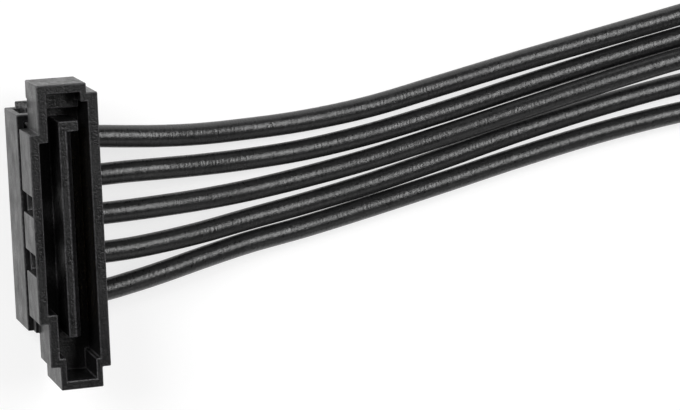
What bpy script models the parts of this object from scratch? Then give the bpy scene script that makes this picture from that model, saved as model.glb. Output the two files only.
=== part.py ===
"""Power splitter lead: a shrouded plug and two outlets pressed onto five parallel wires.

Every connector lies on its rear cap with its mating face up (+Z). The wires leave the
plug at a right angle, along +X, and the connectors' long sides run along Y. The origin
is under the middle of the plug, on the surface that the lead lies on.
"""

import math

import bmesh
import bpy
from mathutils import Matrix, Vector

MM = 0.001

# How far a cutter passes the face that it opens, and how far a joined shape is sunk
OVERCUT = 0.5 * MM
SINK = 0.25 * MM

# Flat sides that stand for a round channel, and curve steps for each span of a route
ROUND_SIDES = 24
SPAN_STEPS = 16

# Wires and contacts, shared by the three connectors
WIRE_COUNT = 5
WIRE_PITCH = 3.81 * MM
WIRE_DIAMETER = 2.2 * MM
WIRE_HEIGHT = 4.15 * MM
WIRE_CLEARANCE = 0.14 * MM
WIRE_REACH = 2.25 * MM
ROW_SHIFT = 0.69 * MM
CONTACTS_PER_WIRE = 3
CONTACT_PITCH = 1.27 * MM
CONTACT_WIDTH = 0.7 * MM
STRIP_THICKNESS = 0.2 * MM
STRIP_GAP = 0.08 * MM
SLOT_CLEARANCE = 0.12 * MM
STRIP_SLOT_GAP = 0.05 * MM
FORK_TINE = 0.4 * MM
FORK_REACH = 0.95 * MM

# Levels above the surface
CAP_HEIGHT = 6.0 * MM
CAP_FLOOR = 2.9 * MM
SEAM = 0.22 * MM
CAVITY_FLOOR = 7.1 * MM
WALL_BACK = 7.05 * MM
TOP_BOX_BACK = 6.57 * MM
END_BOX_BACK = 5.2 * MM
RIM_HEIGHT = 11.85 * MM
NECK_DROP = 1.65 * MM

# Plug shroud: the outer steps are measured inward from the widest part
WIDTH = 6.66 * MM
LENGTH = 29.08 * MM
SIDE_WALL = 0.91 * MM
RIGHT_WALL = 1.0 * MM
CROSS_WALL = 0.85 * MM
END_WALL = 0.6 * MM
SIDE_STEP = 0.87 * MM
END_STEP = 0.91 * MM
RIGHT_END_STEP = 0.82 * MM
TOP_STEP = 1.05 * MM
TOP_BOX = 0.92 * MM
END_BOX = 1.93 * MM
END_BOX_LIP = 0.32 * MM
WIDE_TOP = 4.54 * MM
WIDE_BOTTOM = 6.5 * MM
POCKET_LEDGE = 1.7 * MM
POCKET_LEDGE_DROP = 2.4 * MM

# Windows in the plug's left wall, centre and length along Y, and the bar over them
WINDOWS = ((3.1 * MM, 1.97 * MM), (-2.52 * MM, 2.07 * MM))
WINDOW_BAR = 0.3 * MM
WINDOW_SILL = 0.3 * MM
WINDOW_REACH = 0.2 * MM

# Tongue, which carries the contacts on its right side
TONGUE_LENGTH = 20.6 * MM
TONGUE_THICKNESS = 0.9 * MM
TONGUE_DROP = 0.5 * MM
TONGUE_LEG = 1.02 * MM
LEG_THICKNESS = 1.0 * MM
BLADE_DROP = 0.45 * MM

# Base plate, ear, neck and snap arms behind each connector
PLATE_INSET = 0.48 * MM
PLATE_END = 1.0 * MM
EAR_WIDTH = 1.7 * MM
EAR_LENGTH = 0.65 * MM
EAR_FROM_TOP = 2.1 * MM
EAR_BACK = 5.45 * MM
NECK_CLEARANCE = 0.25 * MM
ARM_WIDTH = 2.4 * MM
ARM_THICKNESS = 0.65 * MM
ARM_BACK = 2.0 * MM
HOOK = 0.4 * MM
HOOK_HEIGHT = 0.7 * MM
ARM_CLEARANCE = 0.15 * MM

# Rear cap, a tray that presses the wires onto the forks
CAP_LENGTH = 20.9 * MM
CAP_WALL = 0.7 * MM

# Outlet, whose nose fits the plug's shroud
MATE_CLEARANCE = 0.15 * MM
FLANGE_LENGTH = 27.0 * MM
FLANGE_TOP = 7.6 * MM
NOSE_HEIGHT = 4.5 * MM
SLOT_FLOOR = 7.3 * MM
GROOVE_DEPTH = 0.45 * MM
BUMP_PROUD = 0.4 * MM
BUMP_LENGTH = 1.5 * MM
BUMP_LOW = 0.9 * MM
BUMP_HEIGHT = 1.5 * MM

# Where the outlets lie: middle along X and Y, and the turn about Z in degrees
OUTLETS = ((98.0 * MM, 12.7 * MM, 4.0), (137.0 * MM, 12.6 * MM, -3.0))

# The wires' route between the connectors in millimetres, first wire at the +Y end
RUN_X = (7.5, 11, 15, 20, 26, 33, 41, 49, 58, 67, 73, 77.5, 82, 86, 89.5)
RUN_HEIGHT = (3.95, 3.6, 2.8, 1.8, 1.27, 1.15, 1.15, 1.15, 1.15, 1.15, 1.15, 1.35, 2.0, 3.0, 3.8)
RUN_ACROSS = (
    (8.0, 7.7, 7.45, 7.4, 7.65, 8.5, 10.15, 11.85, 13.65, 15.45, 16.7, 17.7, 18.7, 19.55, 20.2),
    (4.55, 4.5, 4.4, 4.4, 4.75, 5.75, 7.4, 9.25, 11.28, 13.13, 14.2, 14.88, 15.5, 16.05, 16.5),
    (0.75, 0.85, 0.95, 1.25, 2.0, 3.25, 5.1, 7.1, 9.27, 11.16, 11.97, 12.35, 12.62, 12.8, 12.98),
    (-3.0, -2.7, -2.3, -1.6, -0.65, 0.75, 2.7, 4.73, 6.7, 8.3, 8.95, 9.2, 9.3, 9.3, 9.28),
    (-6.35, -5.65, -4.85, -3.95, -3.0, -1.55, 0.25, 2.1, 3.95, 5.35, 5.9, 6.0, 5.9, 5.7, 5.55),
)
MIDDLE_LIFT = (0, 0, 0, 0, 0, 0.1, 0.4, 0.85, 1.2, 1.2, 0.85, 0.4, 0.1, 0, 0)
LINK_X = (106.5, 112, 118, 124, 129)
LINK_HEIGHT = (3.95, 3.3, 2.9, 3.3, 3.95)
LINK_ACROSS = (
    (21.45, 21.6, 21.6, 21.5, 21.3),
    (17.7, 17.9, 17.9, 17.75, 17.5),
    (13.9, 14.15, 14.2, 14.05, 13.75),
    (10.15, 10.45, 10.5, 10.35, 10.0),
    (6.35, 6.7, 6.75, 6.6, 6.2),
)
SAMPLE_STEP = 2.0 * WIRE_DIAMETER

# Sizes worked out from those above
HALF_WIDTH = WIDTH / 2
HALF_LENGTH = LENGTH / 2
WIRE_RADIUS = WIRE_DIAMETER / 2
CHANNEL_RADIUS = WIRE_RADIUS + WIRE_CLEARANCE
PLATE_BACK = CAP_HEIGHT + SEAM
NARROW_LEFT = SIDE_STEP - HALF_WIDTH
END_LEFT = NARROW_LEFT + END_STEP
END_RIGHT = HALF_WIDTH - RIGHT_END_STEP
TOP_RIGHT = HALF_WIDTH - TOP_STEP
TOP_WALL_Y = HALF_LENGTH - TOP_BOX
WIDE_TOP_Y = HALF_LENGTH - WIDE_TOP
WIDE_BOTTOM_Y = WIDE_BOTTOM - HALF_LENGTH
END_BOX_Y = END_BOX - HALF_LENGTH
NARROW_BOTTOM_Y = END_BOX_Y + END_BOX_LIP
TONGUE_TOP_Y = ROW_SHIFT + TONGUE_LENGTH / 2
TONGUE_BOTTOM_Y = ROW_SHIFT - TONGUE_LENGTH / 2
TONGUE_TIP = RIM_HEIGHT - TONGUE_DROP
CAP_TOP_Y = ROW_SHIFT + CAP_LENGTH / 2
CAP_BOTTOM_Y = ROW_SHIFT - CAP_LENGTH / 2
NOSE_TOP = FLANGE_TOP + NOSE_HEIGHT
CONTACT_SPREAD = (CONTACTS_PER_WIRE - 1) * CONTACT_PITCH + CONTACT_WIDTH
EAR_TOP_Y = HALF_LENGTH - EAR_FROM_TOP

# Turns an outline's X and Y into the model's Y and Z, with its thickness along X
UPRIGHT = Matrix(((0, 0, 1, 0), (1, 0, 0, 0), (0, 1, 0, 0), (0, 0, 0, 1)))


def clear_scene():
    """Remove what a new Blender file starts with."""
    for thing in list(bpy.data.objects):
        bpy.data.objects.remove(thing, do_unlink=True)


def make_collection(name):
    """Add a collection to the scene."""
    group = bpy.data.collections.new(name)
    bpy.context.scene.collection.children.link(group)
    return group


def make_material(name, colour, roughness, metallic):
    """A Principled material with one colour."""
    material = bpy.data.materials.new(name)
    material.use_nodes = True
    shader = material.node_tree.nodes["Principled BSDF"]
    shader.inputs["Base Color"].default_value = (*colour, 1.0)
    shader.inputs["Roughness"].default_value = roughness
    shader.inputs["Metallic"].default_value = metallic
    return material


def as_mesh(source, name):
    """Replace an object by the welded, flat-shaded mesh that it evaluates to."""
    depsgraph = bpy.context.evaluated_depsgraph_get()
    mesh = bpy.data.meshes.new_from_object(source.evaluated_get(depsgraph))
    solid = bmesh.new()
    solid.from_mesh(mesh)
    bmesh.ops.remove_doubles(solid, verts=solid.verts, dist=1e-7)
    solid.to_mesh(mesh)
    solid.free()
    mesh.shade_flat()
    mesh.transform(source.matrix_world)
    bpy.data.objects.remove(source, do_unlink=True)
    result = bpy.data.objects.new(name, mesh)
    bpy.context.scene.collection.objects.link(result)
    return result


def prism(name, outline, low, high, frame=None):
    """A flat outline given thickness from low to high, along Z or along the frame's Z."""
    curve = bpy.data.curves.new(name + "_outline", "CURVE")
    curve.dimensions = "2D"
    curve.fill_mode = "BOTH"
    curve.extrude = (high - low) / 2
    spline = curve.splines.new("POLY")
    spline.points.add(len(outline) - 1)
    for point, (across, along) in zip(spline.points, outline):
        point.co = (across, along, 0.0, 1.0)
    spline.use_cyclic_u = True
    source = bpy.data.objects.new(name + "_outline", curve)
    bpy.context.scene.collection.objects.link(source)
    source.matrix_world = (frame or Matrix.Identity(4)) @ Matrix.Translation((0, 0, (low + high) / 2))
    bpy.context.view_layer.update()
    return as_mesh(source, name)


def box(name, low, high):
    """A box between two corners."""
    solid = bmesh.new()
    bmesh.ops.create_cube(solid, size=1.0)
    size = Vector(high) - Vector(low)
    middle = (Vector(high) + Vector(low)) / 2
    bmesh.ops.scale(solid, verts=solid.verts, vec=size)
    bmesh.ops.translate(solid, verts=solid.verts, vec=middle)
    mesh = bpy.data.meshes.new(name)
    solid.to_mesh(mesh)
    solid.free()
    result = bpy.data.objects.new(name, mesh)
    bpy.context.scene.collection.objects.link(result)
    return result


def channel(name, across, start, end):
    """A round channel for one wire, open towards the mating side."""
    top = CAP_HEIGHT + OVERCUT
    steps = ROUND_SIDES // 2
    arc = [math.pi + math.pi * step / steps for step in range(steps + 1)]
    outline = [(across + CHANNEL_RADIUS, top), (across - CHANNEL_RADIUS, top)]
    outline += [(across + CHANNEL_RADIUS * math.cos(turn),
                 WIRE_HEIGHT + CHANNEL_RADIUS * math.sin(turn)) for turn in arc]
    return prism(name, outline, start, end, UPRIGHT)


def combine(host, operation, pieces):
    """Join pieces to the host, or cut them from it, and keep the plain mesh that results."""
    for piece in pieces:
        change = host.modifiers.new(piece.name, "BOOLEAN")
        change.operation = operation
        change.solver = "EXACT"
        change.object = piece
    bpy.context.view_layer.update()
    name = host.name
    host.name = name + "_before"
    result = as_mesh(host, name)
    for piece in pieces:
        bpy.data.objects.remove(piece, do_unlink=True)
    return result


def stepped_outline(left, right):
    """Walk down the left side's steps and up the right side's: (x, from, to) each."""
    return [(x, y) for x, start, end in left + right for y in (start, end)]


def shift_outline(outline, distance):
    """Move every side of a square-cornered outline outward by a distance."""
    moved = []
    count = len(outline)
    for index, (x, y) in enumerate(outline):
        shift = Vector((0.0, 0.0))
        for start, end in ((outline[index - 1], (x, y)), ((x, y), outline[(index + 1) % count])):
            side = (Vector(end) - Vector(start)).normalized()
            shift += Vector((side.y, -side.x)) * distance
        moved.append((x + shift.x, y + shift.y))
    return moved


def mirrored(outline):
    """The outline as the mating connector shows it, still walked the same way round."""
    return [(-x, y) for x, y in reversed(outline)]


def wire_across(index):
    """Where a wire crosses a connector, along Y from the connector's middle."""
    return ROW_SHIFT + ((WIRE_COUNT - 1) / 2 - index) * WIRE_PITCH


def cavity_outline():
    """Inside of the plug's shroud, seen from the mating side."""
    left = [
        (NARROW_LEFT + SIDE_WALL, HALF_LENGTH - CROSS_WALL, WIDE_TOP_Y - CROSS_WALL),
        (SIDE_WALL - HALF_WIDTH, WIDE_TOP_Y - CROSS_WALL, WIDE_BOTTOM_Y + CROSS_WALL),
        (NARROW_LEFT + SIDE_WALL, WIDE_BOTTOM_Y + CROSS_WALL, NARROW_BOTTOM_Y + CROSS_WALL),
        (END_LEFT + END_WALL, NARROW_BOTTOM_Y + CROSS_WALL, CROSS_WALL - HALF_LENGTH),
    ]
    right = [
        (END_RIGHT - END_WALL, CROSS_WALL - HALF_LENGTH, END_BOX_Y + CROSS_WALL),
        (HALF_WIDTH - RIGHT_WALL, END_BOX_Y + CROSS_WALL, TOP_WALL_Y - CROSS_WALL),
        (TOP_RIGHT - END_WALL, TOP_WALL_Y - CROSS_WALL, HALF_LENGTH - CROSS_WALL),
    ]
    return stepped_outline(left, right)


def shroud_outline():
    """Outside of the plug's shroud, seen from the mating side."""
    left = [
        (NARROW_LEFT, HALF_LENGTH, WIDE_TOP_Y),
        (-HALF_WIDTH, WIDE_TOP_Y, WIDE_BOTTOM_Y),
        (NARROW_LEFT, WIDE_BOTTOM_Y, NARROW_BOTTOM_Y),
        (END_LEFT, NARROW_BOTTOM_Y, -HALF_LENGTH),
    ]
    right = [
        (END_RIGHT, -HALF_LENGTH, END_BOX_Y),
        (HALF_WIDTH, END_BOX_Y, TOP_WALL_Y),
        (TOP_RIGHT, TOP_WALL_Y, HALF_LENGTH),
    ]
    return stepped_outline(left, right)


def tongue_outline():
    """The key-shaped tongue, with its short leg at the +Y end pointing right."""
    half = TONGUE_THICKNESS / 2
    leg_low = TONGUE_TOP_Y - LEG_THICKNESS
    return [
        (-half, TONGUE_TOP_Y), (-half, TONGUE_BOTTOM_Y), (half, TONGUE_BOTTOM_Y), (half, leg_low),
        (half + TONGUE_LEG, leg_low), (half + TONGUE_LEG, TONGUE_TOP_Y),
    ]


def neck_and_arms(prefix):
    """What reaches into the rear cap: the comb over the wires and a snap arm at each end."""
    reach = HALF_WIDTH - CAP_WALL - NECK_CLEARANCE
    inset = CAP_WALL + NECK_CLEARANCE
    pieces = [box(prefix + "_neck", (-reach, CAP_BOTTOM_Y + inset, PLATE_BACK - NECK_DROP),
                  (reach, CAP_TOP_Y - inset, PLATE_BACK + SINK))]
    for face, side in ((CAP_TOP_Y, 1), (CAP_BOTTOM_Y, -1)):
        near = face + side * ARM_CLEARANCE
        far = near + side * ARM_THICKNESS
        grip = near - side * HOOK
        low_y, high_y = sorted((near, far))
        pieces.append(box(prefix + "_arm", (-ARM_WIDTH / 2, low_y, ARM_BACK),
                          (ARM_WIDTH / 2, high_y, PLATE_BACK + SINK)))
        low_y, high_y = sorted((grip, far))
        pieces.append(box(prefix + "_hook", (-ARM_WIDTH / 2, low_y, ARM_BACK),
                          (ARM_WIDTH / 2, high_y, ARM_BACK + HOOK_HEIGHT)))
    return pieces


def groove_cutters(prefix):
    """Round grooves for the wires under the comb, leaving the comb's roof whole."""
    cuts = []
    for index in range(WIRE_COUNT):
        turns = [2 * math.pi * step / ROUND_SIDES for step in range(ROUND_SIDES)]
        outline = [(wire_across(index) + CHANNEL_RADIUS * math.cos(turn),
                    WIRE_HEIGHT + CHANNEL_RADIUS * math.sin(turn)) for turn in turns]
        cuts.append(prism(f"{prefix}_groove_{index}", outline, -HALF_WIDTH, HALF_WIDTH, UPRIGHT))
    return cuts


def slot_cutters(prefix, strip_low, top):
    """The slot that each terminal is pushed through, from the wire side up to a level."""
    half = CONTACT_SPREAD / 2 + SLOT_CLEARANCE
    cuts = []
    for index in range(WIRE_COUNT):
        across = wire_across(index)
        cuts.append(box(f"{prefix}_slot_{index}",
                        (strip_low - STRIP_SLOT_GAP, across - half, ARM_BACK),
                        (strip_low + STRIP_THICKNESS + STRIP_SLOT_GAP, across + half, top)))
    return cuts


def plug_housing():
    """Shroud, tongue, base plate, end boxes, comb and snap arms, moulded in one piece."""
    name = "plug_housing"
    host = prism(name, shroud_outline(), WALL_BACK, RIM_HEIGHT)
    rim = WALL_BACK + SINK
    narrow_plate = NARROW_LEFT + PLATE_INSET
    right = HALF_WIDTH - PLATE_INSET
    adds = [
        box("wide_plate", (PLATE_INSET - HALF_WIDTH, CAP_BOTTOM_Y, PLATE_BACK),
            (right, WIDE_TOP_Y - CROSS_WALL / 2, rim)),
        box("top_plate", (narrow_plate, WIDE_TOP_Y - CROSS_WALL, PLATE_BACK),
            (right, HALF_LENGTH - PLATE_END, rim)),
        box("low_plate", (narrow_plate, NARROW_BOTTOM_Y + PLATE_INSET, PLATE_BACK),
            (END_RIGHT, CAP_BOTTOM_Y + CROSS_WALL, rim)),
        box("end_box", (END_LEFT, -HALF_LENGTH, END_BOX_BACK),
            (END_RIGHT, END_BOX_Y + CROSS_WALL, rim)),
        box("top_box", (NARROW_LEFT, TOP_WALL_Y - CROSS_WALL, TOP_BOX_BACK),
            (TOP_RIGHT, HALF_LENGTH, rim)),
        box("ear", (-HALF_WIDTH, EAR_TOP_Y - EAR_LENGTH, EAR_BACK),
            (EAR_WIDTH - HALF_WIDTH, EAR_TOP_Y, PLATE_BACK + SINK)),
    ]
    host = combine(host, "UNION", adds + neck_and_arms(name))
    room = prism("room", cavity_outline(), CAVITY_FLOOR, RIM_HEIGHT + OVERCUT)
    host = combine(host, "DIFFERENCE", [room])

    ledge = box("ledge", (NARROW_LEFT + SIDE_WALL / 2, HALF_LENGTH - CROSS_WALL - POCKET_LEDGE,
                          CAVITY_FLOOR - SINK),
                (TOP_RIGHT - END_WALL / 2, HALF_LENGTH - CROSS_WALL / 2,
                 RIM_HEIGHT - POCKET_LEDGE_DROP))
    tongue = prism("tongue", tongue_outline(), CAVITY_FLOOR - SINK, TONGUE_TIP)
    host = combine(host, "UNION", [tongue, ledge])

    strip_low = TONGUE_THICKNESS / 2 + STRIP_GAP
    cuts = groove_cutters(name) + slot_cutters(name, strip_low, CAVITY_FLOOR + STRIP_GAP)
    for middle, length in WINDOWS:
        sill = CAVITY_FLOOR - WINDOW_SILL
        cuts.append(box("window", (-HALF_WIDTH - OVERCUT, middle - length / 2, sill),
                        (SIDE_WALL + WINDOW_REACH - HALF_WIDTH, middle + length / 2,
                         RIM_HEIGHT - WINDOW_BAR)))
    return combine(host, "DIFFERENCE", cuts)


def outlet_housing():
    """Flange and nose with the keyed slot, comb and snap arms, moulded in one piece."""
    name = "outlet_housing"
    half = FLANGE_LENGTH / 2
    host = box(name, (-HALF_WIDTH, -half, PLATE_BACK), (HALF_WIDTH, half, FLANGE_TOP))
    nose_outline = shift_outline(mirrored(cavity_outline()), -MATE_CLEARANCE)
    adds = [prism("nose", nose_outline, FLANGE_TOP - SINK, NOSE_TOP)]
    nose_side = HALF_WIDTH - SIDE_WALL - MATE_CLEARANCE
    for middle, _length in WINDOWS:
        outline = [
            (middle - BUMP_LENGTH / 2, FLANGE_TOP + BUMP_LOW),
            (middle + BUMP_LENGTH / 2, FLANGE_TOP + BUMP_LOW),
            (middle + BUMP_LENGTH / 2, FLANGE_TOP + BUMP_LOW + BUMP_HEIGHT),
            (middle - BUMP_LENGTH / 2, FLANGE_TOP + BUMP_LOW + BUMP_HEIGHT),
        ]
        adds.append(prism("bump", outline, nose_side - SINK, nose_side + BUMP_PROUD, UPRIGHT))
    host = combine(host, "UNION", adds + neck_and_arms(name))

    slot_outline = shift_outline(mirrored(tongue_outline()), MATE_CLEARANCE)
    cuts = [prism("slot", slot_outline, SLOT_FLOOR, NOSE_TOP + OVERCUT)]
    slot_side = -(TONGUE_THICKNESS / 2 + MATE_CLEARANCE)
    reach = CONTACT_WIDTH / 2 + SLOT_CLEARANCE
    for index in range(WIRE_COUNT):
        for contact in contact_offsets():
            middle = wire_across(index) + contact
            cuts.append(box("contact_groove", (slot_side - GROOVE_DEPTH, middle - reach, SLOT_FLOOR),
                            (slot_side + SLOT_CLEARANCE, middle + reach, NOSE_TOP + OVERCUT)))
    strip_low = outlet_strip()
    cuts += groove_cutters(name) + slot_cutters(name, strip_low, SLOT_FLOOR + SLOT_CLEARANCE)
    return combine(host, "DIFFERENCE", cuts)


def outlet_strip():
    """Where the outlet's contact strips start, along X, inside the contact grooves."""
    return -(TONGUE_THICKNESS / 2 + MATE_CLEARANCE + STRIP_THICKNESS + STRIP_GAP)


def contact_offsets():
    """Where a terminal's contacts are, from the middle of its wire."""
    middle = (CONTACTS_PER_WIRE - 1) / 2
    return [(step - middle) * CONTACT_PITCH for step in range(CONTACTS_PER_WIRE)]


def rear_cap(name, open_sides):
    """A tray with a notch for every wire in each side that the wires pass through."""
    host = box(name, (-HALF_WIDTH, CAP_BOTTOM_Y, 0.0), (HALF_WIDTH, CAP_TOP_Y, CAP_HEIGHT))
    inside = HALF_WIDTH - CAP_WALL
    cuts = [box("inside", (-inside, CAP_BOTTOM_Y + CAP_WALL, CAP_FLOOR),
                (inside, CAP_TOP_Y - CAP_WALL, CAP_HEIGHT + OVERCUT))]
    for face, side in ((CAP_TOP_Y, 1), (CAP_BOTTOM_Y, -1)):
        low_y, high_y = sorted((face + side * OVERCUT, face - side * HOOK))
        grip = ARM_WIDTH / 2 + ARM_CLEARANCE
        cuts.append(box("catch", (-grip, low_y, ARM_BACK - ARM_CLEARANCE),
                        (grip, high_y, ARM_BACK + HOOK_HEIGHT + ARM_CLEARANCE)))
    for index in range(WIRE_COUNT):
        for side in open_sides:
            start, end = sorted((side * (inside - OVERCUT), side * (HALF_WIDTH + OVERCUT)))
            cuts.append(channel("notch", wire_across(index), start, end))
    return combine(host, "DIFFERENCE", cuts)


def terminal(name, strip_low, tip):
    """A stamped strip: contacts up to a tip, and a fork that straddles its wire."""
    half = CONTACT_SPREAD / 2
    shoulder = PLATE_BACK + SEAM
    crotch = WIRE_HEIGHT + CHANNEL_RADIUS
    fork_low = WIRE_HEIGHT - FORK_REACH
    inner = WIRE_RADIUS + SLOT_CLEARANCE
    outline = [
        (-half, shoulder), (-inner - FORK_TINE, crotch), (-inner - FORK_TINE, fork_low),
        (-inner, fork_low), (-inner, crotch), (inner, crotch), (inner, fork_low),
        (inner + FORK_TINE, fork_low), (inner + FORK_TINE, crotch), (half, shoulder),
    ]
    for middle in reversed(contact_offsets()):
        right = middle + CONTACT_WIDTH / 2
        left = middle - CONTACT_WIDTH / 2
        root = shoulder + CONTACT_WIDTH
        outline += [(right, root), (right, tip), (left, tip), (left, root)]
    return prism(name, outline, strip_low, strip_low + STRIP_THICKNESS, UPRIGHT)


def smooth_path(points, step):
    """Places a step apart on one smooth curve through the points."""
    ends = [2 * points[0] - points[1]] + points + [2 * points[-1] - points[-2]]
    fine = []
    for index in range(1, len(ends) - 2):
        before, start, end, after = ends[index - 1:index + 3]
        knots = [0.0]
        for first, second in ((before, start), (start, end), (end, after)):
            knots.append(knots[-1] + math.sqrt((second - first).length))
        for part in range(SPAN_STEPS):
            place = knots[1] + (knots[2] - knots[1]) * part / SPAN_STEPS
            fine.append(spline_point((before, start, end, after), knots, place))
    fine.append(points[-1])
    lengths = [0.0]
    for first, second in zip(fine, fine[1:]):
        lengths.append(lengths[-1] + (second - first).length)
    count = round(lengths[-1] / step)
    path = []
    index = 0
    for number in range(count + 1):
        target = lengths[-1] * number / count
        while index < len(fine) - 2 and lengths[index + 1] < target:
            index += 1
        share = (target - lengths[index]) / (lengths[index + 1] - lengths[index])
        path.append(fine[index].lerp(fine[index + 1], share))
    return path


def spline_point(controls, knots, place):
    """One point of a Catmull-Rom span, by blending its four controls level by level."""
    level = list(controls)
    for reach, first in ((1, 0), (2, 0), (1, 1)):
        level = [level[index].lerp(level[index + 1],
                                   (place - knots[index + first])
                                   / (knots[index + first + reach] - knots[index + first]))
                 for index in range(len(level) - 1)]
    return level[0]


def connector_points(frame, index, places):
    """Points of a wire inside a connector, at places along the connector's X."""
    return [frame @ Vector((place, wire_across(index), WIRE_HEIGHT)) for place in places]


def wire_points(index, frames):
    """The points that one wire's route passes through, from the plug to the last outlet."""
    lift = MIDDLE_LIFT if index == WIRE_COUNT // 2 else (0,) * len(RUN_X)
    near = HALF_WIDTH + WIRE_RADIUS / 2
    run = [Vector((x, y, z + up)) * MM
           for x, y, z, up in zip(RUN_X, RUN_ACROSS[index], RUN_HEIGHT, lift)]
    link = [Vector((x, y, z)) * MM for x, y, z in zip(LINK_X, LINK_ACROSS[index], LINK_HEIGHT)]
    points = connector_points(Matrix.Identity(4), index, (-WIRE_REACH, near))
    points += run + connector_points(frames[0], index, (-near, near))
    points += link + connector_points(frames[1], index, (-near, WIRE_REACH))
    return points


def make_wire(index, frames):
    """One insulated wire as a round tube."""
    name = f"wire_{index + 1}"
    curve = bpy.data.curves.new(name, "CURVE")
    curve.dimensions = "3D"
    curve.bevel_depth = WIRE_RADIUS
    curve.bevel_resolution = 2
    curve.use_fill_caps = True
    path = smooth_path(wire_points(index, frames), SAMPLE_STEP)
    spline = curve.splines.new("POLY")
    spline.points.add(len(path) - 1)
    for point, place in zip(spline.points, path):
        point.co = (*place, 1.0)
    wire = bpy.data.objects.new(name, curve)
    bpy.context.scene.collection.objects.link(wire)
    return wire


def keep(thing, group, material, parent=None):
    """Give a finished piece its material and its place in the part's collection."""
    thing.data.materials.clear()
    thing.data.materials.append(material)
    for holder in list(thing.users_collection):
        holder.objects.unlink(thing)
    group.objects.link(thing)
    thing.parent = parent
    return thing


def copy_piece(source, name):
    """A second object that shares the source's mesh."""
    twin = bpy.data.objects.new(name, source.data)
    bpy.context.scene.collection.objects.link(twin)
    return twin


def place_terminals(prefix, source, group, material, parent=None):
    """One terminal for every wire of a connector."""
    for index in range(WIRE_COUNT):
        piece = keep(copy_piece(source, f"{prefix}_terminal_{index + 1}"), group, material, parent)
        piece.location = (0.0, wire_across(index), 0.0)


def build():
    """Model the plug, the two outlets and the wires."""
    clear_scene()
    group = make_collection("power_splitter_lead")
    moulding = make_material("moulding_black", (0.022, 0.022, 0.024), 0.5, 0.0)
    insulation = make_material("insulation_black", (0.03, 0.03, 0.032), 0.42, 0.0)
    plating = make_material("contact_plating", (0.75, 0.58, 0.27), 0.3, 1.0)

    keep(plug_housing(), group, moulding)
    keep(rear_cap("plug_cap", (1,)), group, moulding)
    blade = terminal("plug_blade", TONGUE_THICKNESS / 2 + STRIP_GAP, TONGUE_TIP - BLADE_DROP)
    place_terminals("plug", blade, group, plating)
    bpy.data.objects.remove(blade, do_unlink=True)

    housing = outlet_housing()
    beam = terminal("outlet_beam", outlet_strip(), NOSE_TOP - BLADE_DROP)
    frames = []
    for number, (x, y, turn) in enumerate(OUTLETS, start=1):
        holder = bpy.data.objects.new(f"outlet_{number}", None)
        group.objects.link(holder)
        holder.location = (x, y, 0.0)
        holder.rotation_euler = (0.0, 0.0, math.radians(turn))
        frames.append(Matrix.Translation((x, y, 0.0)) @ Matrix.Rotation(math.radians(turn), 4, "Z"))
        keep(copy_piece(housing, f"outlet_{number}_housing"), group, moulding, holder)
        open_sides = (-1, 1) if number < len(OUTLETS) else (-1,)
        keep(rear_cap(f"outlet_{number}_cap", open_sides), group, moulding, holder)
        place_terminals(f"outlet_{number}", beam, group, plating, holder)
    bpy.data.objects.remove(housing, do_unlink=True)
    bpy.data.objects.remove(beam, do_unlink=True)

    for index in range(WIRE_COUNT):
        keep(make_wire(index, frames), group, insulation)


build()
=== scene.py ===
"""Looks of a power splitter lead: moulded connectors, plated contacts and insulated wires.

The plug lies on its rear cap with its mating face up. Five wires leave it along +X and run
through the first outlet to the last one.
"""

import math

import bmesh
import bpy
from mathutils import Euler, Matrix, Vector


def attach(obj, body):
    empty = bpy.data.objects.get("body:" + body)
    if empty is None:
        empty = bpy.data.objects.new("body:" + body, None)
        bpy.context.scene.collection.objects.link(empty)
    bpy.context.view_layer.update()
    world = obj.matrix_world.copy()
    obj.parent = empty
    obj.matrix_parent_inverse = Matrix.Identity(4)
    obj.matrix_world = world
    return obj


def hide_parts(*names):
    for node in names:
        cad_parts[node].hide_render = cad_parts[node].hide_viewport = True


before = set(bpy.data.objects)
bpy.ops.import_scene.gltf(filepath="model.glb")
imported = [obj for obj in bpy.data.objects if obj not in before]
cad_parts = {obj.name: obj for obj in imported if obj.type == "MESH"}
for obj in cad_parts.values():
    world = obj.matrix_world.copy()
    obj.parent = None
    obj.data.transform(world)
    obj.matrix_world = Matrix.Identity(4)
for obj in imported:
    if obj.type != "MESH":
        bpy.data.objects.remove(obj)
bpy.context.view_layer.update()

MM = 0.001

# Camera
CAMERA_PLACE = (-0.0547, 0.04955, 0.27448)
CAMERA_TURN_DEG = (-9.404, -17.548, -2.158)
CAMERA_LENS = 153.5
CAMERA_NEAR = 0.01

# Sizes that the solids share, in metres, and how each outlet lies: X, Y and turn in degrees
WIRE_COUNT = 5
WIRE_PITCH = 0.00381
WIRE_DIAMETER = 0.0022
WIRE_HEIGHT = 0.00415
WIRE_REACH = 0.00225
WIRE_CLEAR = WIRE_DIAMETER / 4
ROW_SHIFT = 0.00069
HALF_WIDTH = 0.00333
CONTACTS_PER_WIRE = 3
CONTACT_PITCH = 0.00127
TONGUE_LENGTH = 0.0206
TONGUE_THICKNESS = 0.0009
TONGUE_TIP = 0.01135
LEG_THICKNESS = 0.001
CAVITY_FLOOR = 0.0071
OUTLETS = ((0.098, 0.0127, 4.0), (0.137, 0.0126, -3.0))

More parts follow.
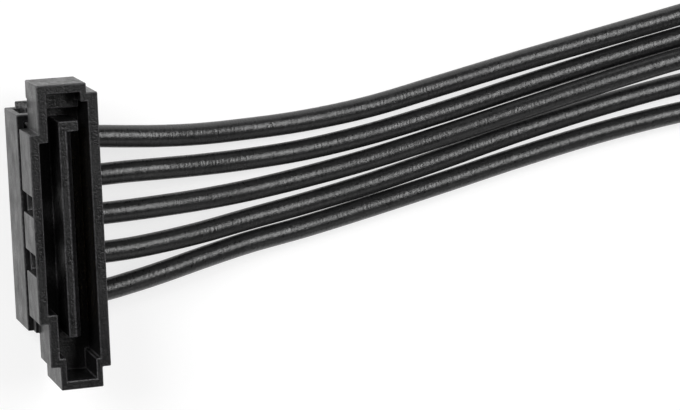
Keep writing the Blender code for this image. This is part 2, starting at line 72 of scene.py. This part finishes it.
# The wires' route from the plug to the first outlet: places along X, heights, and each wire's
# places along Y, first wire at the +Y end. The middle wire lies higher by its own lift.
RUN_X = (0.0075, 0.011, 0.015, 0.020, 0.026, 0.033, 0.041, 0.049,
         0.058, 0.067, 0.073, 0.0775, 0.082, 0.086, 0.0895)
RUN_HEIGHT = (0.00395, 0.0036, 0.0028, 0.0018, 0.00127, 0.00115, 0.00115, 0.00115,
              0.00115, 0.00115, 0.00115, 0.00135, 0.0020, 0.0030, 0.0038)
RUN_ACROSS = (
    (0.0080, 0.0077, 0.00745, 0.0074, 0.00765, 0.0085, 0.01015, 0.01185,
     0.01365, 0.01545, 0.0167, 0.0177, 0.0187, 0.01955, 0.0202),
    (0.00455, 0.0045, 0.0044, 0.0044, 0.00475, 0.00575, 0.0074, 0.00925,
     0.01128, 0.01313, 0.0142, 0.01488, 0.0155, 0.01605, 0.0165),
    (0.00075, 0.00085, 0.00095, 0.00125, 0.0020, 0.00325, 0.0051, 0.0071,
     0.00927, 0.01116, 0.01197, 0.01235, 0.01262, 0.0128, 0.01298),
    (-0.0030, -0.0027, -0.0023, -0.0016, -0.00065, 0.00075, 0.0027, 0.00473,
     0.0067, 0.0083, 0.00895, 0.0092, 0.0093, 0.0093, 0.00928),
    (-0.00635, -0.00565, -0.00485, -0.00395, -0.0030, -0.00155, 0.00025, 0.0021,
     0.00395, 0.00535, 0.0059, 0.0060, 0.0059, 0.0057, 0.00555),
)
MIDDLE_LIFT = (0, 0, 0, 0, 0, 0.0001, 0.0004, 0.00085,
               0.0012, 0.0012, 0.00085, 0.0004, 0.0001, 0, 0)

# Their route from the first outlet to the second
LINK_X = (0.1065, 0.112, 0.118, 0.124, 0.129)
LINK_HEIGHT = (0.00395, 0.0033, 0.0029, 0.0033, 0.00395)
LINK_ACROSS = (
    (0.02145, 0.0216, 0.0216, 0.0215, 0.0213),
    (0.0177, 0.0179, 0.0179, 0.01775, 0.0175),
    (0.0139, 0.01415, 0.0142, 0.01405, 0.01375),
    (0.01015, 0.01045, 0.0105, 0.01035, 0.0100),
    (0.00635, 0.0067, 0.00675, 0.0066, 0.0062),
)

# Length of a step along a wire, how round its section is, and steps in a span of its route
WIRE_STEP = 0.4 * WIRE_DIAMETER
WIRE_SIDE_STEPS = 6
SPAN_STEPS = 16

# Cleaning of a solid's mesh, and its edges: which are sharp, how far moulded and stamped ones
# are rounded, the share of the room beside an edge that its rounding takes, and the least
# weight at which an edge is still rounded
WELD = 0.001 * MM
FLAT_DEG = 1.0
SHARP_DEG = 30.0
MOULD_ROUND = 0.12 * MM
STAMP_ROUND = 0.04 * MM
ROUND_SEGMENTS = 2
ROOM_SHARE = 0.35
LEAST_WEIGHT = 0.2

# How far solids added to the tongue reach into it and keep off its faces, and how far the
# cutter of its slope runs past its side and past its end
OVERLAP = 0.1 * MM
KEEP_OFF = 0.02 * MM
PAST_SIDE = 1.0 * MM
PAST_END = 0.5 * MM

# Ribs between the plug's contacts, the lip over their tips and the slope on its top
RIB_WIDTH = 0.33 * MM
RIB_PROUD = 0.3 * MM
LIP_BOTTOM = TONGUE_TIP - 0.41 * MM
SLOPE_WIDTH = 0.2 * MM
SLOPE_DROP = 0.36 * MM

# Ramp on the ear beside the top box: its corners, seen from above, its height at the inner
# corner, its slopes along X and Y, and the level under which its cutter stays
RAMP_LOW = (-0.0035, 0.01177)
RAMP_HIGH = (-0.0023, 0.0126)
RAMP_TOP = 0.0065
RAMP_CEILING = 0.00656
RAMP_FALL = (0.47, 0.35)

# Openings in the end walls of the rear caps
CAP_LENGTH = 0.0209
OPENING_DEPTH = 0.78 * MM
OPENING_ACROSS = (1.4 * MM, 2.75 * MM)
OPENING_HEIGHT = (1.0 * MM, 4.75 * MM)

# The range of a noise value that spread() maps
NOISE_LOW = 0.3
NOISE_HIGH = 0.7

# Each surface's darkest and lightest colour, the tint of the mouldings' lightest, and how much a
# surface bends light. The mouldings' rounded edges get lighter tones than their faces: a painted
# highlight along the edges.
MOULDING_TONES = (0.0005, 0.011)
EDGE_HIGHLIGHT_TONES = (0.012, 0.06)
LIGHTEST_TINT = (1.0, 0.98, 1.04)
INSULATION_COLOURS = ((0.004, 0.004, 0.0042), (0.009, 0.009, 0.0094))
PLATING_COLOURS = ((0.72, 0.50, 0.20), (0.83, 0.62, 0.29))
MOULDING_IOR = 1.43
INSULATION_IOR = 1.62

# The floor's colour and what it adds where it is seen directly. The surroundings light with
# AMBIENT. Seen directly they fade from 1 at HORIZON_LOW to OVERHEAD at HORIZON_RISE, both given
# as the sine of the angle above the horizon. The sources face LIGHT_TARGET.
FLOOR_SIZE = 4.0
FLOOR_COLOUR = (0.32, 0.32, 0.32)
FLOOR_GLOW = 0.72
AMBIENT = 0.12
OVERHEAD = 0.04
HORIZON_LOW = 0.02
HORIZON_RISE = 0.2
LIGHT_TARGET = (0.04, 0.005, 0.0)


def plain_box(name, low, high):
    """A box between two corners, as an object."""
    solid = bmesh.new()
    bmesh.ops.create_cube(solid, size=1.0)
    bmesh.ops.scale(solid, verts=solid.verts, vec=Vector(high) - Vector(low))
    bmesh.ops.translate(solid, verts=solid.verts, vec=(Vector(high) + Vector(low)) / 2)
    mesh = bpy.data.meshes.new(name)
    solid.to_mesh(mesh)
    solid.free()
    return link(name, mesh)


def link(name, data):
    """Add an object with this data to the scene."""
    thing = bpy.data.objects.new(name, data)
    bpy.context.scene.collection.objects.link(thing)
    return thing


def bar(name, section, start, end):
    """A bar along Y with a section given as (x, z) points, counter-clockwise seen from -Y."""
    solid = bmesh.new()
    near = [solid.verts.new((x, start, z)) for x, z in section]
    far = [solid.verts.new((x, end, z)) for x, z in section]
    solid.faces.new(near)
    solid.faces.new(reversed(far))
    for index in range(len(section)):
        follow = (index + 1) % len(section)
        solid.faces.new((near[follow], near[index], far[index], far[follow]))
    bmesh.ops.recalc_face_normals(solid, faces=solid.faces)
    mesh = bpy.data.meshes.new(name)
    solid.to_mesh(mesh)
    solid.free()
    return link(name, mesh)


def local_copy(node, name, place):
    """A new piece with a node's welded mesh in its connector's own frame."""
    solid = bmesh.new()
    solid.from_mesh(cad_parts[node].data)
    bmesh.ops.transform(solid, matrix=place.inverted(), verts=solid.verts)
    bmesh.ops.remove_doubles(solid, verts=solid.verts, dist=WELD)
    bmesh.ops.dissolve_limit(solid, angle_limit=math.radians(FLAT_DEG),
                             verts=solid.verts, edges=solid.edges)
    mesh = bpy.data.meshes.new(name)
    solid.to_mesh(mesh)
    solid.free()
    return link(name, mesh)


def combine(piece, operation, others):
    """Join solids to a piece, or cut them from it."""
    for other in others:
        change = piece.modifiers.new(other.name, "BOOLEAN")
        change.operation = operation
        change.solver = "EXACT"
        change.object = other
    apply_modifiers(piece)
    for other in others:
        bpy.data.objects.remove(other, do_unlink=True)


def apply_modifiers(piece):
    """Keep the mesh that a piece's modifiers make."""
    bpy.context.view_layer.update()
    depsgraph = bpy.context.evaluated_depsgraph_get()
    mesh = bpy.data.meshes.new_from_object(piece.evaluated_get(depsgraph))
    piece.modifiers.clear()
    piece.data = mesh


def soften(piece, materials, width):
    """Round a piece's sharp edges, each only as far as its neighbours leave room.

    The rounded edges take the last of the materials; on mouldings that is a lighter colour, a
    painted highlight.
    """
    for material in materials:
        piece.data.materials.append(material)
    solid = bmesh.new()
    solid.from_mesh(piece.data)
    bmesh.ops.remove_doubles(solid, verts=solid.verts, dist=WELD)
    bmesh.ops.dissolve_limit(solid, angle_limit=math.radians(FLAT_DEG),
                             verts=solid.verts, edges=solid.edges)
    layer = solid.edges.layers.float.new("bevel_weight_edge")
    for edge in solid.edges:
        if len(edge.link_faces) != 2 or edge.calc_face_angle(0.0) < math.radians(SHARP_DEG):
            continue
        beside = [other.calc_length() for face in edge.link_faces for other in face.edges
                  if set(other.verts) & set(edge.verts)]
        weight = min(1.0, ROOM_SHARE * min(beside) / width)
        if weight >= LEAST_WEIGHT:
            edge[layer] = weight
        else:
            edge.smooth = False
    solid.to_mesh(piece.data)
    solid.free()
    bevel = piece.modifiers.new("round", "BEVEL")
    bevel.width = width
    bevel.segments = ROUND_SEGMENTS
    bevel.limit_method = "WEIGHT"
    bevel.material = len(piece.data.materials) - 1
    bevel.use_clamp_overlap = False
    apply_modifiers(piece)
    piece.data.shade_smooth()
    shading = piece.modifiers.new("shading", "WEIGHTED_NORMAL")
    shading.keep_sharp = True
    apply_modifiers(piece)


def wire_across(index):
    """Where a wire crosses a connector, along Y from the connector's middle."""
    return ROW_SHIFT + ((WIRE_COUNT - 1) / 2 - index) * WIRE_PITCH


def plug_housing(materials):
    """The plug's moulding, with ribs between its contacts, a lip over them and the ear's ramp."""
    piece = local_copy("plug_housing", "plug_shell", Matrix.Identity(4))
    side = TONGUE_THICKNESS / 2
    root = side - OVERLAP
    face = side + RIB_PROUD
    bottom = ROW_SHIFT - TONGUE_LENGTH / 2
    leg = ROW_SHIFT + TONGUE_LENGTH / 2 - LEG_THICKNESS
    lip_top = TONGUE_TIP - KEEP_OFF
    lip = bar("lip", ((root, LIP_BOTTOM), (face, LIP_BOTTOM), (face, lip_top), (root, lip_top)),
              bottom + KEEP_OFF, leg + OVERLAP)
    rib_face = face - KEEP_OFF
    rib_bottom = CAVITY_FLOOR - OVERLAP
    rib_top = LIP_BOTTOM + OVERLAP
    rib_section = ((root, rib_bottom), (rib_face, rib_bottom), (rib_face, rib_top), (root, rib_top))
    ribs = []
    count = WIRE_COUNT * CONTACTS_PER_WIRE
    for index in range(1, count):
        middle = ROW_SHIFT + (index - count / 2) * CONTACT_PITCH
        ribs.append(bar("rib", rib_section, middle - RIB_WIDTH / 2, middle + RIB_WIDTH / 2))
    combine(piece, "UNION", [lip] + ribs)
    slope_start = side - SLOPE_WIDTH
    slope_end = TONGUE_TIP - SLOPE_DROP
    above = TONGUE_TIP + PAST_SIDE
    beyond = face + PAST_SIDE
    slope = bar("slope", ((slope_start, TONGUE_TIP), (face, slope_end), (beyond, slope_end),
                          (beyond, above), (slope_start, above)), bottom - PAST_END, leg)
    combine(piece, "DIFFERENCE", [slope, ear_ramp()])
    soften(piece, materials, MOULD_ROUND)
    return piece


def ear_ramp():
    """A cutter whose underside falls away from the ear's inner corner."""
    ramp = plain_box("ramp", (*RAMP_LOW, RAMP_TOP), (*RAMP_HIGH, RAMP_CEILING))
    for vertex in ramp.data.vertices:
        if vertex.co.z < (RAMP_TOP + RAMP_CEILING) / 2:
            vertex.co.z -= RAMP_FALL[0] * (RAMP_HIGH[0] - vertex.co.x)
            vertex.co.z -= RAMP_FALL[1] * (vertex.co.y - RAMP_LOW[1])
    return ramp


def cap_openings():
    """Cutters for the openings beside the snap arms, in both end walls of a rear cap."""
    cuts = []
    for side in (-1, 1):
        face = ROW_SHIFT + side * CAP_LENGTH / 2
        low_y, high_y = sorted((face - side * OPENING_DEPTH, face + side * OPENING_DEPTH))
        for hand in (-1, 1):
            low_x, high_x = sorted((hand * OPENING_ACROSS[0], hand * OPENING_ACROSS[1]))
            cuts.append(plain_box("opening", (low_x, low_y, OPENING_HEIGHT[0]),
                                  (high_x, high_y, OPENING_HEIGHT[1])))
    return cuts


def dress(piece, nodes):
    """Give a finished piece its body and the nodes that it stands for."""
    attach(piece, "root")
    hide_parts(*nodes)


def spline_point(controls, knots, place):
    """One point of a Catmull-Rom span, by blending its four controls level by level."""
    level = list(controls)
    for reach, first in ((1, 0), (2, 0), (1, 1)):
        level = [level[index].lerp(level[index + 1],
                                   (place - knots[index + first])
                                   / (knots[index + first + reach] - knots[index + first]))
                 for index in range(len(level) - 1)]
    return level[0]


def smooth_path(points, step):
    """Places a step apart on one smooth curve through the points.

    The curve is a Catmull-Rom spline whose knots lie apart by the square roots of the distances.
    """
    ends = [2 * points[0] - points[1]] + points + [2 * points[-1] - points[-2]]
    fine = []
    for index in range(1, len(ends) - 2):
        before, start, end, after = ends[index - 1:index + 3]
        knots = [0.0]
        for first, second in ((before, start), (start, end), (end, after)):
            knots.append(knots[-1] + math.sqrt((second - first).length))
        for part in range(SPAN_STEPS):
            place = knots[1] + (knots[2] - knots[1]) * part / SPAN_STEPS
            fine.append(spline_point((before, start, end, after), knots, place))
    fine.append(points[-1])
    lengths = [0.0]
    for first, second in zip(fine, fine[1:]):
        lengths.append(lengths[-1] + (second - first).length)
    count = round(lengths[-1] / step)
    path = []
    index = 0
    for number in range(count + 1):
        target = lengths[-1] * number / count
        while index < len(fine) - 2 and lengths[index + 1] < target:
            index += 1
        share = (target - lengths[index]) / (lengths[index + 1] - lengths[index])
        path.append(fine[index].lerp(fine[index + 1], share))
    return path


def connector_points(place, index, reaches):
    """Points of a wire inside a connector, at places along the connector's X."""
    return [place @ Vector((reach, wire_across(index), WIRE_HEIGHT)) for reach in reaches]


def outlet_place(number):
    """Where an outlet lies, as a matrix from its own frame; outlets count from 1."""
    x, y, turn = OUTLETS[number - 1]
    return Matrix.Translation((x, y, 0)) @ Matrix.Rotation(math.radians(turn), 4, "Z")


def wire_points(index):
    """The points that one wire's route passes through, from the plug to the last outlet."""
    lift = MIDDLE_LIFT if index == WIRE_COUNT // 2 else (0,) * len(RUN_X)
    near = HALF_WIDTH + WIRE_CLEAR
    run = [Vector((x, y, z + up))
           for x, y, z, up in zip(RUN_X, RUN_ACROSS[index], RUN_HEIGHT, lift)]
    link_run = [Vector(point) for point in zip(LINK_X, LINK_ACROSS[index], LINK_HEIGHT)]
    points = connector_points(Matrix.Identity(4), index, (-WIRE_REACH, near))
    points += run + connector_points(outlet_place(1), index, (-near, near))
    points += link_run + connector_points(outlet_place(2), index, (-near, WIRE_REACH))
    return points


def make_wire(index, material):
    """One insulated wire on its route, as a curve with a round section."""
    name = f"lead_{index + 1}"
    path = smooth_path(wire_points(index), WIRE_STEP)
    curve = bpy.data.curves.new(name, "CURVE")
    curve.dimensions = "3D"
    curve.bevel_depth = WIRE_DIAMETER / 2
    curve.bevel_resolution = WIRE_SIDE_STEPS
    curve.use_fill_caps = True
    spline = curve.splines.new("POLY")
    spline.points.add(len(path) - 1)
    for point, place in zip(spline.points, path):
        point.co = (*place, 1.0)
    curve.materials.append(material)
    wire = link(name, curve)
    dress(wire, [f"wire_{index + 1}"])


def new_material(name):
    """An empty material with a Principled shader, as (material, nodes, links, shader)."""
    material = bpy.data.materials.new(name)
    material.use_nodes = True
    nodes = material.node_tree.nodes
    return material, nodes, material.node_tree.links, nodes["Principled BSDF"]


def noise(nodes, links, scale, detail, stretch=(1, 1, 1)):
    """Noise in the object's own space, stretched along its axes."""
    place = nodes.new("ShaderNodeTexCoord")
    mapping = nodes.new("ShaderNodeMapping")
    mapping.inputs["Scale"].default_value = stretch
    texture = nodes.new("ShaderNodeTexNoise")
    texture.inputs["Scale"].default_value = scale
    texture.inputs["Detail"].default_value = detail
    links.new(place.outputs["Object"], mapping.inputs["Vector"])
    links.new(mapping.outputs["Vector"], texture.inputs["Vector"])
    return texture.outputs["Fac"]


def spread(nodes, links, value, low, high):
    """Map a noise value to a range."""
    change = nodes.new("ShaderNodeMapRange")
    change.inputs["From Min"].default_value = NOISE_LOW
    change.inputs["From Max"].default_value = NOISE_HIGH
    change.inputs["To Min"].default_value = low
    change.inputs["To Max"].default_value = high
    links.new(value, change.inputs["Value"])
    return change.outputs["Result"]


def blend_colours(nodes, links, value, first, second):
    """A colour between two, chosen by a noise value."""
    mix = nodes.new("ShaderNodeMix")
    mix.data_type = "RGBA"
    mix.inputs["A"].default_value = (*first, 1)
    mix.inputs["B"].default_value = (*second, 1)
    links.new(spread(nodes, links, value, low=0, high=1), mix.inputs["Factor"])
    return mix.outputs["Result"]


def bump(nodes, links, height, strength, distance, below=None):
    """A bump from a height, laid over another where one is given."""
    node = nodes.new("ShaderNodeBump")
    node.inputs["Strength"].default_value = strength
    node.inputs["Distance"].default_value = distance
    links.new(height, node.inputs["Height"])
    if below is not None:
        links.new(below, node.inputs["Normal"])
    return node.outputs["Normal"]


def moulding_material(name, tones):
    """Satin black moulded plastic, with an eroded grain, flow lines and handling marks."""
    darkest, lightest = tones
    material, nodes, links, shader = new_material(name)
    flow = noise(nodes, links, scale=2400, detail=2.0, stretch=(1, 0.09, 0.4))
    marks = noise(nodes, links, scale=900, detail=4.0, stretch=(1, 0.6, 0.7))
    grain = noise(nodes, links, scale=4800, detail=3.0)
    colour = blend_colours(nodes, links, grain, (darkest, darkest, darkest),
                           [lightest * share for share in LIGHTEST_TINT])
    links.new(colour, shader.inputs["Base Color"])
    worn = nodes.new("ShaderNodeMath")
    worn.operation = "ADD"
    links.new(spread(nodes, links, flow, low=0.12, high=0.22), worn.inputs[0])
    links.new(spread(nodes, links, marks, low=0.12, high=0.28), worn.inputs[1])
    links.new(worn.outputs["Value"], shader.inputs["Roughness"])
    lines = bump(nodes, links, flow, strength=0.9, distance=0.055 * MM)
    surface = bump(nodes, links, grain, strength=0.9, distance=0.055 * MM, below=lines)
    links.new(surface, shader.inputs["Normal"])
    shader.inputs["IOR"].default_value = MOULDING_IOR
    return material


def insulation_material():
    """Satin black wire insulation, with fine streaks across the wire over a leathery grain."""
    material, nodes, links, shader = new_material("wire_black")
    streaks = noise(nodes, links, scale=4200, detail=2.0, stretch=(1, 0.14, 0.14))
    grain = noise(nodes, links, scale=5000, detail=3.0, stretch=(1, 0.7, 0.7))
    cloud = noise(nodes, links, scale=900, detail=3.0)
    colour = blend_colours(nodes, links, cloud, *INSULATION_COLOURS)
    links.new(colour, shader.inputs["Base Color"])
    links.new(spread(nodes, links, grain, low=0.26, high=0.42), shader.inputs["Roughness"])
    lines = bump(nodes, links, streaks, strength=0.9, distance=0.045 * MM)
    surface = bump(nodes, links, grain, strength=0.9, distance=0.035 * MM, below=lines)
    links.new(surface, shader.inputs["Normal"])
    shader.inputs["IOR"].default_value = INSULATION_IOR
    return material


def plating_material():
    """Thin gold plating over a stamped copper alloy."""
    material, nodes, links, shader = new_material("contact_gold")
    rolled = noise(nodes, links, scale=5000, detail=3.0, stretch=(1, 1, 0.08))
    colour = blend_colours(nodes, links, rolled, *PLATING_COLOURS)
    links.new(colour, shader.inputs["Base Color"])
    links.new(spread(nodes, links, rolled, low=0.22, high=0.36), shader.inputs["Roughness"])
    surface = bump(nodes, links, rolled, strength=0.3, distance=0.01 * MM)
    links.new(surface, shader.inputs["Normal"])
    shader.inputs["Metallic"].default_value = 1.0
    return material


def seen_directly(nodes, links):
    """1 for rays from the camera or from a mirror or glass, and 0 for those that light things."""
    path = nodes.new("ShaderNodeLightPath")
    total = path.outputs["Is Camera Ray"]
    for kind in ("Is Glossy Ray", "Is Transmission Ray"):
        larger = nodes.new("ShaderNodeMath")
        larger.operation = "MAXIMUM"
        links.new(total, larger.inputs[0])
        links.new(path.outputs[kind], larger.inputs[1])
        total = larger.outputs["Value"]
    return total


def make_floor():
    """A pale floor that shows as white and keeps the object's shadow."""
    material = bpy.data.materials.new("floor_white")
    material.use_nodes = True
    nodes = material.node_tree.nodes
    links = material.node_tree.links
    nodes.clear()
    matt = nodes.new("ShaderNodeBsdfDiffuse")
    matt.inputs["Color"].default_value = (*FLOOR_COLOUR, 1)
    glow = nodes.new("ShaderNodeEmission")
    strength = nodes.new("ShaderNodeMath")
    strength.operation = "MULTIPLY"
    strength.inputs[1].default_value = FLOOR_GLOW
    links.new(seen_directly(nodes, links), strength.inputs[0])
    links.new(strength.outputs["Value"], glow.inputs["Strength"])
    both = nodes.new("ShaderNodeAddShader")
    links.new(matt.outputs["BSDF"], both.inputs[0])
    links.new(glow.outputs["Emission"], both.inputs[1])
    output = nodes.new("ShaderNodeOutputMaterial")
    links.new(both.outputs["Shader"], output.inputs["Surface"])
    reach = FLOOR_SIZE / 2
    floor = plain_box("floor", (-reach, -reach, -MM), (reach, reach, 0))
    floor.data.materials.append(material)


def make_world():
    """White surroundings that light softly and are darker overhead."""
    world = bpy.data.worlds.new("studio")
    bpy.context.scene.world = world
    world.use_nodes = True
    nodes = world.node_tree.nodes
    links = world.node_tree.links
    direction = nodes.new("ShaderNodeTexCoord")
    split = nodes.new("ShaderNodeSeparateXYZ")
    links.new(direction.outputs["Generated"], split.inputs["Vector"])
    rise = nodes.new("ShaderNodeMapRange")
    rise.inputs["From Min"].default_value = HORIZON_LOW
    rise.inputs["From Max"].default_value = HORIZON_RISE
    rise.inputs["To Min"].default_value = 1.0
    rise.inputs["To Max"].default_value = OVERHEAD
    links.new(split.outputs["Z"], rise.inputs["Value"])
    choose = nodes.new("ShaderNodeMix")
    choose.data_type = "FLOAT"
    choose.inputs["A"].default_value = AMBIENT
    links.new(rise.outputs["Result"], choose.inputs["B"])
    links.new(seen_directly(nodes, links), choose.inputs["Factor"])
    links.new(choose.outputs["Result"], nodes["Background"].inputs["Strength"])
    nodes["Background"].inputs["Color"].default_value = (1, 1, 1, 1)


def softbox(name, direction, distance, width, height, radiance):
    """A soft source of even radiance that faces the lead, with its width along world X."""
    light = bpy.data.lights.new(name, "AREA")
    light.shape = "RECTANGLE"
    light.size = width
    light.size_y = height
    light.energy = radiance * math.pi * width * height
    lamp = link(name, light)
    facing = Vector(direction).normalized()
    side = (Vector((1, 0, 0)) - facing * facing.x).normalized()
    lamp.location = Vector(LIGHT_TARGET) + facing * distance
    lamp.rotation_euler = Matrix((side, facing.cross(side), facing)).transposed().to_euler()


def make_lights():
    """A bright source at the upper left, a panel over the wires and a weak fill."""
    softbox("window", (-0.62, 0.45, 0.68), distance=0.8, width=0.38, height=0.38, radiance=9.5)
    softbox("panel", (0.36, 0.33, 0.87), distance=0.7, width=0.24, height=0.42, radiance=9.0)
    softbox("fill", (0.25, -0.75, 0.6), distance=0.8, width=0.5, height=0.4, radiance=0.8)


def make_camera():
    """The photograph's view, from above the plug's left side."""
    camera = link("camera", bpy.data.cameras.new("camera"))
    camera.location = CAMERA_PLACE
    camera.rotation_euler = Euler([math.radians(turn) for turn in CAMERA_TURN_DEG])
    camera.data.lens = CAMERA_LENS
    camera.data.clip_start = CAMERA_NEAR
    bpy.context.scene.camera = camera


def rear_cap(node, name, place, materials):
    """A connector's rear cap, with the openings beside its snap arms."""
    cap = local_copy(node, name, place)
    combine(cap, "DIFFERENCE", cap_openings())
    soften(cap, materials, MOULD_ROUND)
    cap.matrix_world = place
    dress(cap, [node])
    return cap


def strip_pattern(connector, name, place, materials):
    """A finished contact strip, whose mesh all strips of its kind share."""
    first = place @ Matrix.Translation((0, wire_across(0), 0))
    pattern = local_copy(f"{connector}_terminal_1", name, first)
    soften(pattern, materials, STAMP_ROUND)
    return pattern


def contact_strips(connector, place, mesh):
    """A connector's contact strips, one for each wire, which share one mesh."""
    strips = []
    for index in range(WIRE_COUNT):
        strip = link(f"{connector}_contacts_{index + 1}", mesh)
        strip.matrix_world = place @ Matrix.Translation((0, wire_across(index), 0))
        dress(strip, [f"{connector}_terminal_{index + 1}"])
        strips.append(strip)
    return strips


def make_plug(moulding, plating):
    """The plug's moulding, rear cap and contacts."""
    place = Matrix.Identity(4)
    dress(plug_housing(moulding), ["plug_housing"])
    rear_cap("plug_cap", "plug_back", place, moulding)
    pattern = strip_pattern("plug", "plug_contacts", place, plating)
    contact_strips("plug", place, pattern.data)
    bpy.data.objects.remove(pattern, do_unlink=True)


def make_outlets(moulding, plating):
    """The outlets, as a list for each wire of the pieces that it carries."""
    shell = local_copy("outlet_1_housing", "outlet_shell", outlet_place(1))
    soften(shell, moulding, MOULD_ROUND)
    pattern = strip_pattern("outlet_1", "outlet_contacts", outlet_place(1), plating)
    carried = [[] for index in range(WIRE_COUNT)]
    for number in range(1, len(OUTLETS) + 1):
        outlet = f"outlet_{number}"
        place = outlet_place(number)
        twin = link(f"{outlet}_shell", shell.data)
        twin.matrix_world = place
        dress(twin, [f"{outlet}_housing"])
        cap = rear_cap(f"{outlet}_cap", f"{outlet}_back", place, moulding)
        carried[WIRE_COUNT // 2] += [twin, cap]
        for pieces, strip in zip(carried, contact_strips(outlet, place, pattern.data)):
            pieces.append(strip)
    bpy.data.objects.remove(shell, do_unlink=True)
    bpy.data.objects.remove(pattern, do_unlink=True)
    return carried


def main():
    """Dress the frame, then make the stage, the light and the camera."""
    make_camera()
    # The second moulding material is lighter and goes on the rounded edges: a painted highlight
    # along them.
    moulding = (moulding_material("moulded_black", MOULDING_TONES),
                moulding_material("moulded_edge_highlight", EDGE_HIGHLIGHT_TONES))
    plating = [plating_material()]
    make_plug(moulding, plating)
    carried = make_outlets(moulding, plating)
    insulation = insulation_material()
    for index in range(WIRE_COUNT):
        make_wire(index, insulation)
    make_floor()
    make_world()
    make_lights()
    bpy.context.scene.view_settings.view_transform = "Standard"


main()
